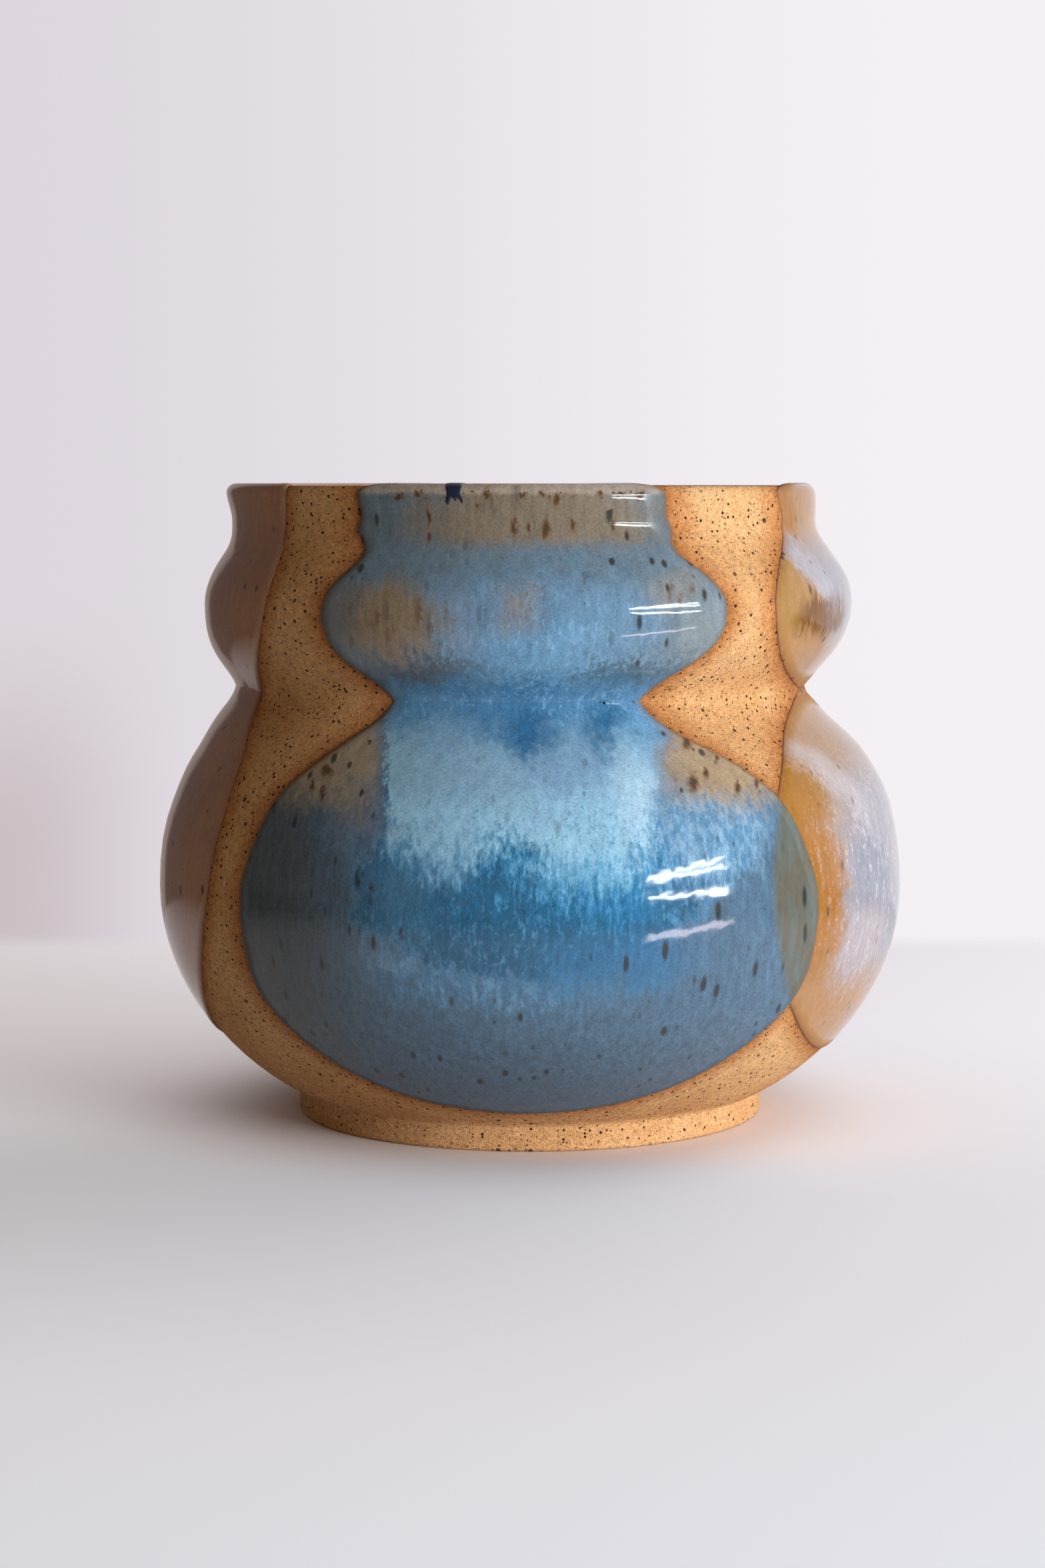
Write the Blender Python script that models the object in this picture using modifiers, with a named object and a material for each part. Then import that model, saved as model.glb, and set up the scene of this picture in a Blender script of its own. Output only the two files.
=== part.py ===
"""Ceramic planter: a thrown clay pot with a belly, a waist and a collar, dipped in glaze from four sides.

Sizes are in metres, +Z is up, the foot stands on Z = 0 and the front faces -Y.
"""
import math
from collections import namedtuple

import bpy
from mathutils import Vector
from mathutils.geometry import interpolate_bezier

# Outside of the clay: radii from the foot up, and the rise of each stretch between them
FOOT_RADIUS = 0.0502
FOOT_HEIGHT = 0.0053
BELLY_UNDER_RISE = 0.0444
BELLY_RADIUS = 0.0793
BELLY_OVER_RISE = 0.0428
WAIST_RADIUS = 0.0612
COLLAR_UNDER_RISE = 0.0176
COLLAR_RADIUS = 0.0688
COLLAR_OVER_RISE = 0.0176
NECK_RADIUS = 0.0623
NECK_RISE = 0.0075
RIM_FLARE = 0.0002
RIM_RADIUS = NECK_RADIUS + RIM_FLARE

# Levels above the table
BELLY_LEVEL = FOOT_HEIGHT + BELLY_UNDER_RISE
WAIST_LEVEL = BELLY_LEVEL + BELLY_OVER_RISE
COLLAR_LEVEL = WAIST_LEVEL + COLLAR_UNDER_RISE
NECK_LEVEL = COLLAR_LEVEL + COLLAR_OVER_RISE
POT_HEIGHT = NECK_LEVEL + NECK_RISE

# Wall, lip, floor, foot and drain hole
WALL = 0.0050
LIP_ROUND = 0.0018
FLOOR = 0.0065
FOOT_RING_WIDTH = 0.0070
FOOT_RECESS = 0.0028
FOOT_EDGE_ROUND = 0.0008
DRAIN_RADIUS = 0.0062

# How full each curve is: the slope of its end, and its handle as a share of its rise
FOOT_SLOPE = math.radians(25.7)
FOOT_REACH = 0.36
BELLY_UNDER_FULLNESS = 0.47
BELLY_OVER_FULLNESS = 0.69
WAIST_LOWER_SLOPE = math.radians(80.2)
WAIST_LOWER_REACH = 0.18
WAIST_UPPER_SLOPE = math.radians(74.4)
WAIST_UPPER_REACH = 0.32
COLLAR_UNDER_FULLNESS = 0.65
COLLAR_OVER_FULLNESS = 0.37
NECK_FULLNESS = 0.35

# Glaze: the thickness of a coat, the clearance between neighbours, and where the liner ends
GLAZE = 0.0005
CLEARANCE = 0.0003
LINER_EDGE = 0.0055
LINER_DRAIN_MARGIN = 0.0012

# Dips: azimuth from the front, tilt of the glaze level, and how far it reaches in past the waist
BACK_AZIMUTH = math.radians(163)
BACK_TILT = math.radians(0)
BACK_REACH = 0.0012
LEFT_AZIMUTH = math.radians(-101.9)
LEFT_TILT = math.radians(11.8)
LEFT_REACH = 0.0146
RIGHT_AZIMUTH = math.radians(76)
RIGHT_TILT = math.radians(3)
RIGHT_REACH = 0.0008
FRONT_AZIMUTH = math.radians(-0.9)
FRONT_TILT = math.radians(-0.2)
FRONT_REACH = 0.0044

# The run of liner glaze over the lip
DRIP_AZIMUTH = math.radians(-12.1)
DRIP_WIDTH = 0.0031
DRIP_LENGTH = 0.0044

# Colours and roughness
CLAY_COLOUR = (0.56, 0.31, 0.12)
BACK_COLOUR = (0.10, 0.20, 0.30)
LEFT_COLOUR = (0.30, 0.22, 0.20)
RIGHT_COLOUR = (0.55, 0.45, 0.42)
FRONT_COLOUR = (0.10, 0.22, 0.33)
LINER_COLOUR = (0.02, 0.03, 0.08)
CLAY_ROUGHNESS = 0.85
GLAZE_ROUGHNESS = 0.2

# Smoothness of the solids, and the distance at which points count as one
TURN_STEPS = 48
CURVE_STEPS = 6
ARC_STEPS = 3
SAME_POINT = 0.000001

# The dips in the order they were made: a later one lies over an earlier one
Dip = namedtuple("Dip", "name azimuth tilt reach colour")
DIPS = [
    Dip("back_glaze", BACK_AZIMUTH, BACK_TILT, BACK_REACH, BACK_COLOUR),
    Dip("left_glaze", LEFT_AZIMUTH, LEFT_TILT, LEFT_REACH, LEFT_COLOUR),
    Dip("right_glaze", RIGHT_AZIMUTH, RIGHT_TILT, RIGHT_REACH, RIGHT_COLOUR),
    Dip("front_glaze", FRONT_AZIMUTH, FRONT_TILT, FRONT_REACH, FRONT_COLOUR),
]


def clear_scene():
    """Remove every object that the file started with."""
    for old in list(bpy.data.objects):
        bpy.data.objects.remove(old, do_unlink=True)


def new_collection(name):
    """A collection in the scene, for the parts or for their cutters."""
    collection = bpy.data.collections.new(name)
    bpy.context.scene.collection.children.link(collection)
    return collection


def at(radius, level):
    """A point of a turned profile."""
    return Vector((radius, 0.0, level))


def toward(slope, length):
    """A step outwards and upwards along a slope."""
    return Vector((length * math.cos(slope), 0.0, length * math.sin(slope)))


def arc(centre, radius, start, end):
    """Points of an arc about a profile point, angles in degrees."""
    points = []
    for step in range(ARC_STEPS + 1):
        angle = math.radians(start + (end - start) * step / ARC_STEPS)
        points.append(centre + toward(angle, radius))
    return points


def without_repeats(points):
    """The points, leaving out each one that lies on the one before it."""
    kept = [points[0]]
    for point in points[1:]:
        if (point - kept[-1]).length > SAME_POINT:
            kept.append(point)
    return kept


def left_of(step):
    """The unit direction to the left of a step in the profile's plane."""
    return Vector((-step.z, 0.0, step.x)).normalized()


def offset(path, distance):
    """The path moved to its left by a distance, with mitred corners."""
    sides = [left_of(b - a) for a, b in zip(path, path[1:])]
    before = [sides[0]] + sides
    after = sides + [sides[-1]]
    moved = []
    for point, one, two in zip(path, before, after):
        moved.append(point + (one + two) * (distance / (1.0 + one.dot(two))))
    return moved


def between(path, top, bottom):
    """The part of a falling path between two levels, ended on them where it crosses them."""
    kept = []
    for a, b in zip(path, path[1:]):
        for level in (top, bottom):
            if a.z > level > b.z:
                kept.append(a.lerp(b, (a.z - level) / (a.z - b.z)))
        if top >= b.z >= bottom:
            kept.append(b.copy())
    if top >= path[0].z:
        kept.insert(0, path[0].copy())
    return without_repeats(kept)


def outside_wall():
    """The outside of the clay, from under the lip down to the top of the foot."""
    neck = at(NECK_RADIUS, NECK_LEVEL)
    collar = at(COLLAR_RADIUS, COLLAR_LEVEL)
    waist = at(WAIST_RADIUS, WAIST_LEVEL)
    belly = at(BELLY_RADIUS, BELLY_LEVEL)
    foot = at(FOOT_RADIUS, FOOT_HEIGHT)
    curves = [
        (neck,
         neck - at(0.0, NECK_FULLNESS * COLLAR_OVER_RISE),
         collar + at(0.0, COLLAR_OVER_FULLNESS * COLLAR_OVER_RISE),
         collar),
        (collar,
         collar - at(0.0, COLLAR_UNDER_FULLNESS * COLLAR_UNDER_RISE),
         waist + toward(WAIST_UPPER_SLOPE, WAIST_UPPER_REACH * COLLAR_UNDER_RISE),
         waist),
        (waist,
         waist + toward(-WAIST_LOWER_SLOPE, WAIST_LOWER_REACH * BELLY_OVER_RISE),
         belly + at(0.0, BELLY_OVER_FULLNESS * BELLY_OVER_RISE),
         belly),
        (belly,
         belly - at(0.0, BELLY_UNDER_FULLNESS * BELLY_UNDER_RISE),
         foot + toward(FOOT_SLOPE, FOOT_REACH * BELLY_UNDER_RISE),
         foot),
    ]
    points = [at(RIM_RADIUS, POT_HEIGHT - LIP_ROUND)]
    for curve in curves:
        points += interpolate_bezier(*curve, CURVE_STEPS + 1)
    return without_repeats(points)


def inside_wall(wall):
    """The inside of the clay, from under the lip down to the floor."""
    run_on = wall[-1] - toward(FOOT_SLOPE, FOOT_RADIUS)
    return between(offset(wall + [run_on], -WALL), POT_HEIGHT - LIP_ROUND, FOOT_RECESS + FLOOR)


def lip_over(wall, inner):
    """The rounded lip, from the inside over the top to the outside."""
    outer_centre = at(wall[0].x - LIP_ROUND, wall[0].z)
    inner_centre = at(inner[0].x + LIP_ROUND, wall[0].z)
    return arc(inner_centre, LIP_ROUND, 180, 90) + arc(outer_centre, LIP_ROUND, 90, 0)


def clay_outline(wall, inner, lip):
    """The clay's section: lip, outside, foot with its recess, drain hole, floor and inside."""
    foot_edge = arc(at(FOOT_RADIUS - FOOT_EDGE_ROUND, FOOT_EDGE_ROUND), FOOT_EDGE_ROUND, 0, -90)
    ring_inside = FOOT_RADIUS - FOOT_RING_WIDTH
    under = [
        at(ring_inside, 0.0),
        at(ring_inside, FOOT_RECESS),
        at(DRAIN_RADIUS, FOOT_RECESS),
        at(DRAIN_RADIUS, FOOT_RECESS + FLOOR),
    ]
    return without_repeats(lip + wall[1:] + foot_edge + under + inner[:0:-1])


def coat_outline(path, near, far):
    """The section of a coat between two distances to the left of a path, or to its right if below 0."""
    return without_repeats(offset(path, far) + offset(path, near)[::-1])


def finish(name, colour, roughness):
    """A Principled material in the part's own colour."""
    material = bpy.data.materials.new(name)
    material.use_nodes = True
    shader = material.node_tree.nodes["Principled BSDF"]
    shader.inputs["Base Color"].default_value = (*colour, 1.0)
    shader.inputs["Roughness"].default_value = roughness
    shader.inputs["Metallic"].default_value = 0.0
    return material


def turned(name, outline, colour, roughness, collection):
    """A closed outline at +X, turned about Z with a Screw modifier."""
    count = len(outline)
    mesh = bpy.data.meshes.new(name)
    mesh.from_pydata(outline, [(i, (i + 1) % count) for i in range(count)], [])
    mesh.materials.append(finish(name, colour, roughness))
    part = bpy.data.objects.new(name, mesh)
    collection.objects.link(part)
    screw = part.modifiers.new("Turn", "SCREW")
    screw.axis = "Z"
    screw.angle = math.tau
    screw.steps = TURN_STEPS
    screw.render_steps = TURN_STEPS
    screw.use_merge_vertices = True
    screw.merge_threshold = SAME_POINT
    screw.use_smooth_shade = True
    return part


def heading(azimuth, tilt):
    """The direction at an azimuth from the front and a tilt upwards."""
    flat = math.cos(tilt)
    return Vector((math.sin(azimuth) * flat, -math.cos(azimuth) * flat, math.sin(tilt)))


def block(name, size, centre, direction, collection):
    """A cutter box, its local X turned along a direction."""
    bpy.ops.mesh.primitive_cube_add(size=1.0)
    cutter = bpy.context.object
    cutter.name = name
    cutter.scale = size
    cutter.rotation_mode = "QUATERNION"
    cutter.rotation_quaternion = direction.to_track_quat("X", "Z")
    cutter.location = centre
    cutter.hide_render = True
    cutter.display_type = "WIRE"
    for owner in list(cutter.users_collection):
        owner.objects.unlink(cutter)
    collection.objects.link(cutter)
    return cutter


def bath_distance(dip):
    """How far from the origin the glaze level of a dip lies, along its heading."""
    return (WAIST_RADIUS - dip.reach) * math.cos(dip.tilt) + WAIST_LEVEL * math.sin(dip.tilt)


def bath(name, dip, margin, collection):
    """A block for the glaze bath of a dip: its near face is the glaze level, less a margin."""
    direction = heading(dip.azimuth, dip.tilt)
    side = 2.0 * (POT_HEIGHT + BELLY_RADIUS)
    centre = direction * (bath_distance(dip) - margin + side / 2)
    return block(name, (side, side, side), centre, direction, collection)


def half_reach(dip, point):
    """Half the angle round the pot that a dip covers at a profile point."""
    level = (bath_distance(dip) - point.z * math.sin(dip.tilt)) / math.cos(dip.tilt)
    return math.acos(max(-1.0, min(1.0, level / point.x)))


def dips_meet(one, two, path):
    """Whether two dips overlap anywhere on the coat, or come too close."""
    apart = abs(math.remainder(one.azimuth - two.azimuth, math.tau))
    for point in path:
        reaches = (half_reach(one, point), half_reach(two, point))
        if min(reaches) > 0.0 and sum(reaches) + CLEARANCE / point.x > apart:
            return True
    return False


def cut(part, cutter, operation):
    """Keep or remove what lies in a cutter."""
    boolean = part.modifiers.new(cutter.name, "BOOLEAN")
    boolean.operation = operation
    boolean.solver = "EXACT"
    boolean.object = cutter


def glaze_panels(path, parts, cutters):
    """One coat over the lip and the outside for each dip, cut back where a later dip covers it."""
    outline = coat_outline(path, CLEARANCE, CLEARANCE + GLAZE)
    for order, dip in enumerate(DIPS):
        panel = turned(dip.name, outline, dip.colour, GLAZE_ROUGHNESS, parts)
        cut(panel, bath(dip.name + "_bath", dip, 0.0, cutters), "INTERSECT")
        for later in DIPS[order + 1:]:
            if dips_meet(dip, later, path):
                clear = bath(dip.name + "_clear_of_" + later.name, later, CLEARANCE, cutters)
                cut(panel, clear, "DIFFERENCE")


def liner(inner, parts):
    """The coat poured inside, from below the lip to the edge of the drain hole."""
    side = between(inner, POT_HEIGHT - LINER_EDGE, FOOT_RECESS + FLOOR)
    path = side + [at(DRAIN_RADIUS + LINER_DRAIN_MARGIN, FOOT_RECESS + FLOOR)]
    outline = coat_outline(path, -CLEARANCE - GLAZE, -CLEARANCE)
    turned("liner_glaze", outline, LINER_COLOUR, GLAZE_ROUGHNESS, parts)


def drip(path, parts, cutters):
    """The run of liner glaze from the middle of the lip down the outside, lying on the front coat."""
    base = GLAZE + 2.0 * CLEARANCE
    outline = coat_outline(path, base, base + GLAZE)
    run = turned("rim_drip", outline, LINER_COLOUR, GLAZE_ROUGHNESS, parts)
    direction = heading(DRIP_AZIMUTH, 0.0)
    start = RIM_RADIUS - WALL / 2
    centre = direction * (start + RIM_RADIUS / 2) + at(0.0, POT_HEIGHT + base + GLAZE)
    window = block("drip_window", (RIM_RADIUS, DRIP_WIDTH, 2.0 * DRIP_LENGTH), centre, direction, cutters)
    cut(run, window, "INTERSECT")


def build():
    """Make every part of the planter."""
    clear_scene()
    parts = new_collection("ceramic_planter")
    cutters = new_collection("glaze_cutters")
    wall = outside_wall()
    inner = inside_wall(wall)
    lip = lip_over(wall, inner)
    turned("clay_body", clay_outline(wall, inner, lip), CLAY_COLOUR, CLAY_ROUGHNESS, parts)
    coat_path = without_repeats(lip + wall[1:-1])
    glaze_panels(coat_path, parts, cutters)
    liner(inner, parts)
    drip(coat_path, parts, cutters)


build()
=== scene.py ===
# %% [markdown]
# # A ceramic planter, dipped in glaze from four sides
# The pot is thrown in a sandy, iron-speckled clay with a round belly, a tight waist and a small
# collar under a straight rim. The potter held it sideways and dipped one side after another into a
# bucket of glaze, so every panel of glaze ends where a flat glaze level cut the round wall.
# The packed CAD model is loaded first. It fixes the size and place of every piece, and each piece
# made below stands for one of its nodes.

import math

import bpy
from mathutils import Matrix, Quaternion, Vector


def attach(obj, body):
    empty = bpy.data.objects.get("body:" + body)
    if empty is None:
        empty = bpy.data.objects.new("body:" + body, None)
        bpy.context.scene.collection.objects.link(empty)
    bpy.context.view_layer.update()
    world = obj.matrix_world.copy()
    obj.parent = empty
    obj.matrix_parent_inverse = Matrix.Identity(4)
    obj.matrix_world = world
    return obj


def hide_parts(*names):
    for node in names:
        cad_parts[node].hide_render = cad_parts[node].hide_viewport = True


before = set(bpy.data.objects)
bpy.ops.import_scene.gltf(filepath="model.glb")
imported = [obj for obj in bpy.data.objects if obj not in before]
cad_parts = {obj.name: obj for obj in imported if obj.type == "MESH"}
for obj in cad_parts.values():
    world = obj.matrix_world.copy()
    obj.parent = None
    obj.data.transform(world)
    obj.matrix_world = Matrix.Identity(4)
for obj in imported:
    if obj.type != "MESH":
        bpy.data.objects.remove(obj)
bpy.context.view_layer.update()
MM = 0.001
print("CAD nodes:", sorted(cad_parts))

# %% [markdown]
# ## The camera
# The pot was seen from its own rim height, a little to the left of its middle and looking slightly
# down, through a long lens. A camera could be placed by eye, but the rim that shows as a straight
# line and the ellipse of the foot give its height and tilt, so these are set as measured.

# %% Camera
IMAGE_HEIGHT = 2352
FOCAL_LENGTH_PIXELS = 4800
CAMERA_PLACE = (-1.6 * MM, -692 * MM, 135.9 * MM)
CAMERA_TILT = math.radians(5.39)

bpy.ops.object.camera_add(location=CAMERA_PLACE, rotation=(math.pi / 2 - CAMERA_TILT, 0, 0))
camera = bpy.context.object
camera.name = "viewing_camera"
camera.data.lens = FOCAL_LENGTH_PIXELS / IMAGE_HEIGHT * camera.data.sensor_width
bpy.context.scene.camera = camera
print("Camera lens in mm:", round(camera.data.lens, 2))

# %% [markdown]
# ## The outline of the pot
# A thrown pot is one outline turned about an axis. The outline is drawn as a Bezier curve with a
# knot at each place where the wall changes its mind: rim, neck, collar, waist, belly and foot. Each
# knot is a radius and a level in millimetres, with the two handles given as steps from the knot.
# A curve needs far fewer points than a polygon and keeps its roundness at any resolution.

# %% Knots of the outside wall
RIM_RADIUS, NECK_RADIUS, COLLAR_RADIUS, WAIST_RADIUS, BELLY_RADIUS, FOOT_RADIUS = (
    62.7, 62.15, 69.1, 61.1, 79.65, 50.2)
POT_HEIGHT, NECK_LEVEL, COLLAR_LEVEL, WAIST_LEVEL, BELLY_LEVEL, FOOT_LEVEL = (
    135.2, 127.7, 110.1, 92.5, 49.7, 5.3)
WALL, LIP_ROUND, FLOOR_LEVEL = 5.0, 1.8, 9.3
ROUND_HANDLE = 0.552


def knot(radius, level, before=(0, 0), after=(0, 0)):
    """A knot of an outline and its two handles, all in mm, with the handles as steps from it."""
    place = Vector((radius, 0, level))
    return [place, place + Vector((before[0], 0, before[1])), place + Vector((after[0], 0, after[1]))]


def sloping(angle, length):
    """A handle of a length that leans out from the level by an angle in degrees."""
    return (length * math.cos(math.radians(angle)), length * math.sin(math.radians(angle)))


LIP_HANDLE = LIP_ROUND * ROUND_HANDLE
LIP_FLAT, NECK_HANDLE = 0.4, 1.9
ABOVE_WAIST, BELOW_WAIST = 74.4, -80.2
UNDER_BELLY = sloping(25.7, 16.0)
outside = [
    knot(RIM_RADIUS, POT_HEIGHT - LIP_ROUND, (0, LIP_HANDLE), (0, -NECK_HANDLE)),
    knot(NECK_RADIUS, NECK_LEVEL, (0, NECK_HANDLE), (0, -6.8)),
    knot(COLLAR_RADIUS, COLLAR_LEVEL, (0, 8.4), (0, -10.4)),
    knot(WAIST_RADIUS, WAIST_LEVEL, sloping(ABOVE_WAIST, 4.6), sloping(BELOW_WAIST, 7.7)),
    knot(BELLY_RADIUS, BELLY_LEVEL, (0, 29.5), (0, -20.9)),
    knot(FOOT_RADIUS, FOOT_LEVEL, UNDER_BELLY, (0, -1)),
]
lip = [
    knot(RIM_RADIUS - WALL, POT_HEIGHT - LIP_ROUND, (0, -NECK_HANDLE), (0, LIP_HANDLE)),
    knot(RIM_RADIUS - WALL + LIP_ROUND, POT_HEIGHT, (-LIP_HANDLE, 0), (LIP_FLAT, 0)),
    knot(RIM_RADIUS - LIP_ROUND, POT_HEIGHT, (-LIP_FLAT, 0), (LIP_HANDLE, 0)),
]
print("Outside knots:", len(outside), "and lip knots:", len(lip))

# %% [markdown]
# ## Turning an outline
# The Screw modifier turns an outline round an axis just as the wheel turned the clay. The Spin tool
# gives the same shape, but it extrudes the outline once for every step and is slow for a fine turn.
# The curve becomes a mesh first. The first and last copy of the outline meet after a full turn, so
# doubles are merged, and the faces are then made to point outwards.

# %% Helpers that draw and turn an outline
TURN_STEPS = 240
CURVE_STEPS = 16
SAME_POINT = 0.001 * MM


def draw_outline(name, knots, closed):
    """A Bezier curve through the knots, made into a mesh of edges."""
    bpy.ops.object.select_all(action="DESELECT")
    bpy.ops.curve.primitive_bezier_curve_add()
    drawn = bpy.context.object
    drawn.name = drawn.data.name = name
    drawn.data.dimensions = "3D"
    spline = drawn.data.splines[0]
    spline.bezier_points.add(len(knots) - 2)
    spline.resolution_u = CURVE_STEPS
    spline.use_cyclic_u = closed
    for point, (place, before, after) in zip(spline.bezier_points, knots):
        point.handle_left_type = point.handle_right_type = "FREE"
        point.co, point.handle_left, point.handle_right = place * MM, before * MM, after * MM
    bpy.ops.object.convert(target="MESH")
    return bpy.context.object


def turn(piece):
    """The piece's outline turned once about the pot's axis, its seam merged and its faces outwards."""
    screw = piece.modifiers.new("Turn", "SCREW")
    screw.axis, screw.angle = "Z", math.tau
    screw.steps = screw.render_steps = TURN_STEPS
    screw.use_smooth_shade = True
    bpy.ops.object.modifier_apply(modifier=screw.name)
    bpy.ops.object.mode_set(mode="EDIT")
    bpy.ops.mesh.select_all(action="SELECT")
    bpy.ops.mesh.remove_doubles(threshold=SAME_POINT)
    bpy.ops.mesh.normals_make_consistent(inside=False)
    bpy.ops.object.mode_set(mode="OBJECT")
    return piece


def triangles(piece):
    """How many triangles a piece's mesh has."""
    return sum(len(face.vertices) - 2 for face in piece.data.polygons)


print("Degrees between the steps of a turn:", 360 / TURN_STEPS)

# %% [markdown]
# ## The clay body
# The closed outline runs over the lip, down the outside, under the foot with its shallow recess, up
# the drain hole, across the floor and back up the inside. The inside follows the outside one wall
# thickness in. A Solidify modifier could give the wall, but the floor, foot ring and drain hole are
# thicker and sharper than the wall, so they are drawn as knots of the same outline.

# %% Turn the clay
FOOT_EDGE, FOOT_RING, FOOT_RECESS, DRAIN_RADIUS = 0.8, 7.0, 2.8, 6.2
EDGE_HANDLE = FOOT_EDGE * ROUND_HANDLE
RING_INSIDE = FOOT_RADIUS - FOOT_RING
FLOOR_HANDLE, FLOOR_CORNER = 9, 7.5

underneath = [
    knot(FOOT_RADIUS, FOOT_EDGE, (0, 1), (0, -EDGE_HANDLE)),
    knot(FOOT_RADIUS - FOOT_EDGE, 0, (EDGE_HANDLE, 0), (-1, 0)),
    knot(RING_INSIDE + FOOT_EDGE, 0, (1, 0), (-EDGE_HANDLE, 0)),
    knot(RING_INSIDE, FOOT_EDGE, (0, -EDGE_HANDLE), (0, 0.5)),
    knot(RING_INSIDE, FOOT_RECESS, (0, -0.5), (-FLOOR_HANDLE, 0)),
    knot(DRAIN_RADIUS + FOOT_EDGE, FOOT_RECESS, (FLOOR_HANDLE, 0), (-EDGE_HANDLE, 0)),
    knot(DRAIN_RADIUS, FOOT_RECESS + FOOT_EDGE, (0, -EDGE_HANDLE), (0, 1)),
    knot(DRAIN_RADIUS, FLOOR_LEVEL - FOOT_EDGE, (0, -1), (0, EDGE_HANDLE)),
    knot(DRAIN_RADIUS + FOOT_EDGE, FLOOR_LEVEL, (-EDGE_HANDLE, 0), (FLOOR_HANDLE, 0)),
]
inside = [
    knot(FOOT_RADIUS - FLOOR_CORNER, FLOOR_LEVEL, (-FLOOR_HANDLE, 0), (4.2, 0.3)),
    knot(BELLY_RADIUS - WALL, BELLY_LEVEL, (0, -20.4), (0, 26.8)),
    knot(WAIST_RADIUS - WALL, WAIST_LEVEL, sloping(BELOW_WAIST, 8.3), sloping(ABOVE_WAIST, 6.6)),
    knot(COLLAR_RADIUS - WALL, COLLAR_LEVEL, (0, -8.8), (0, 5.2)),
    knot(NECK_RADIUS - WALL, NECK_LEVEL, (0, -7.2), (0, NECK_HANDLE)),
]
clay = turn(draw_outline("clay", lip + outside + underneath + inside, closed=True))
print("Clay:", triangles(clay), "triangles")

# %% [markdown]
# ## The hand of the potter
# A thrown wall is never quite true. Seen from the front this one wanders a little to the left as it
# rises, most at the waist and the rim, and swings back on the collar between. Every piece is moved by
# the same small list, level by level, so that the glaze keeps lying on the clay.

# %% Helpers that lean a piece as the wall leans
LEAN = [(0, 0), (60, 0), (70, 0.3), (78, 0), (88, -1.8), (92.5, -1.9), (110, -0.4), (116, -0.25),
        (121, -0.4), (127.7, -1.35), (136, -2.1)]


def ease(value, low, high):
    """0 below low, 1 above high, and a smooth step between."""
    share = min(1, max(0, (value - low) / (high - low)))
    return share * share * (3 - 2 * share)


def follow(stops, place):
    """The value at a place in a list of places and values, eased from each to the next."""
    value = stops[0][1]
    for (low, here), (high, there) in zip(stops, stops[1:]):
        value += (there - here) * ease(place, low, high)
    return value


def lean(piece):
    """Move each point of a piece sideways as the thrown wall leans at its level."""
    for point in piece.data.vertices:
        point.co.x += follow(LEAN, point.co.z / MM) * MM


print("Lean at waist and rim in mm:", follow(LEAN, WAIST_LEVEL), follow(LEAN, POT_HEIGHT))

# %% [markdown]
# ## The dips
# Each dip is a heading and a depth: the glaze level was a nearly flat sheet across the heading. The
# hand moved a little while the pot went in and out, so each level also has a gentle wave, which
# depends on the place along the sheet and the height. The waves are sums of bells and steps.

# %% Waves of the glaze levels


def bell(value, centre, width):
    """A bell-shaped hump of height 1."""
    return math.exp(-((value - centre) / width) ** 2)


def front_wave(along, level):
    """The front level sags at its sides, is held back over the rim and wavers low down."""
    return (0.8 - 0.00074 * along ** 2 - 2.0 * ease(level, 122, 128)
            - 1.2 * bell(level, 92.5, 4.5) - 0.5 * ease(level, 97, 104) - 1.3 * bell(level, 125, 4)
            - 0.9 * bell(level, 32, 9) - 1.3 * bell(along, 60, 16) * bell(level, 50, 24)
            + 0.25 * math.sin(level / 3.1) * bell(level, 70, 40) + 0.018 * along * ease(level, 118, 126))


def right_wave(along, level):
    """The right level is pressed in over the belly and stands back at the rim and low down."""
    return (0.4 * bell(level, 92, 8) - 1.2 * bell(level, 52, 18) + 0.6 * ease(level, 115, 130)
            + 0.6 * (1 - ease(level, 15, 32)))


def left_wave(along, level):
    """The left level only trembles a little."""
    return 0.3 * math.sin(level / 7) * bell(level, 60, 50)


def back_wave(along, level):
    """The back level has one slow wave."""
    return 0.8 * math.sin(level / 19) + 0.3 * math.sin(along / 9)


print("Front wave at the belly and the waist in mm:",
      [round(front_wave(0, level), 2) for level in (BELLY_LEVEL, WAIST_LEVEL)])

# %% [markdown]
# ## Headings of the dips
# A dip knows how far any place lies inside its glaze. This signed distance drives the cut of its
# panel, the thickness of its edge and the colours near it.

# %% Headings of the dips


class Dip:
    """A glaze level: its heading from the front, its tilt, its depth in mm and its wave."""

    def __init__(self, azimuth, tilt, depth, wave):
        azimuth, tilt = math.radians(azimuth), math.radians(tilt)
        self.depth, self.wave = depth, wave
        self.heading = Vector((math.sin(azimuth) * math.cos(tilt), -math.cos(azimuth) * math.cos(tilt),
                               math.sin(tilt)))
        self.along = Vector((math.cos(azimuth), math.sin(azimuth), 0))
        self.upward = self.heading.cross(self.along)

    def wave_at(self, place):
        """The wave of the level beside a place in metres, in mm."""
        return self.wave(place.dot(self.along) / MM, place.dot(self.upward) / MM)

    def inside_by(self, place):
        """How far a place lies inside the glaze, in mm, below 0 where the clay stayed bare."""
        return place.dot(self.heading) / MM - self.depth - self.wave_at(place)


back_dip = Dip(163, 0, 60.0, back_wave)
left_dip = Dip(-101.9, 11.8, 64.8, left_wave)
right_dip = Dip(76, 3, 65.5, right_wave)
front_dip = Dip(-0.9, -0.2, 56.65, front_wave)
dips = [back_dip, left_dip, right_dip, front_dip]
print("Front heading:", [round(part, 3) for part in front_dip.heading], "upward:",
      [round(part, 3) for part in front_dip.upward])

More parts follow.
